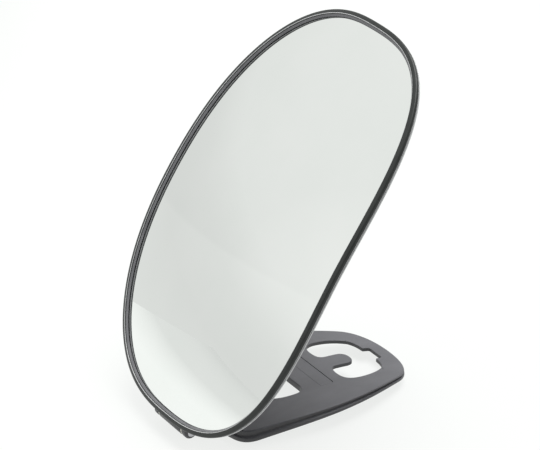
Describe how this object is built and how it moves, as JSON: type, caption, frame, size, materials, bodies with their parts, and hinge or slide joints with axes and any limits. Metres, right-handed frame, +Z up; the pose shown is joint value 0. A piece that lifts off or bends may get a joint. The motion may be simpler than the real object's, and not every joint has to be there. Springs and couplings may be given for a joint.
{
  "type": "folding stand mirror",
  "caption": "Rounded oval convex mirror in a dark plastic rim, on a friction hinge with a flat arched stand plate that folds into its hollow back.",
  "frame": {"origin": "bottom centre of the whole object's box, standing on its feet with the mirror at its rest angle", "axes": "+Z up, +X along the hinge to the right as seen by someone looking into the mirror, +Y from the hinge to the far end of the stand plate; the mirror faces -Y and leans back over the plate"},
  "size_m": [0.1642, 0.1502, 0.2127],
  "materials": {
    "silvered_glass": "polished, silvered on its back",
    "rim_plastic": "semi-gloss greenish black",
    "shell_plastic": "satin dark grey, as the stand",
    "stand_plastic": "satin dark grey",
    "pad_foam": "closed-cell foam",
    "foot_rubber": "matt",
    "bush_nylon": "moulded nylon",
    "hinge_steel": "plain steel"
  },
  "bodies": {
    "stand": {"stand_plate": "stand_plastic", "bridge_inlay": "stand_plastic", "bush_left": "bush_nylon", "bush_right": "bush_nylon", "wave_washer_left": "hinge_steel", "wave_washer_right": "hinge_steel", "foot_front_left": "foot_rubber", "foot_front_right": "foot_rubber", "foot_rear": "foot_rubber"},
    "mirror_head": {"mirror_glass": "silvered_glass", "front_rim": "rim_plastic", "back_shell": "shell_plastic", "foam_pad_top": "pad_foam", "foam_pad_middle": "pad_foam", "foam_pad_bottom": "pad_foam", "hinge_pin": "hinge_steel", "pin_cap": "hinge_steel"}
  },
  "joints": [
    {"name": "stand_hinge", "type": "hinge", "parent": "stand", "child": "mirror_head", "pos_m": [0, -0.06671, 0.0074], "axis": [1, 0, 0], "range_deg": [-57, 20]}
  ]
}
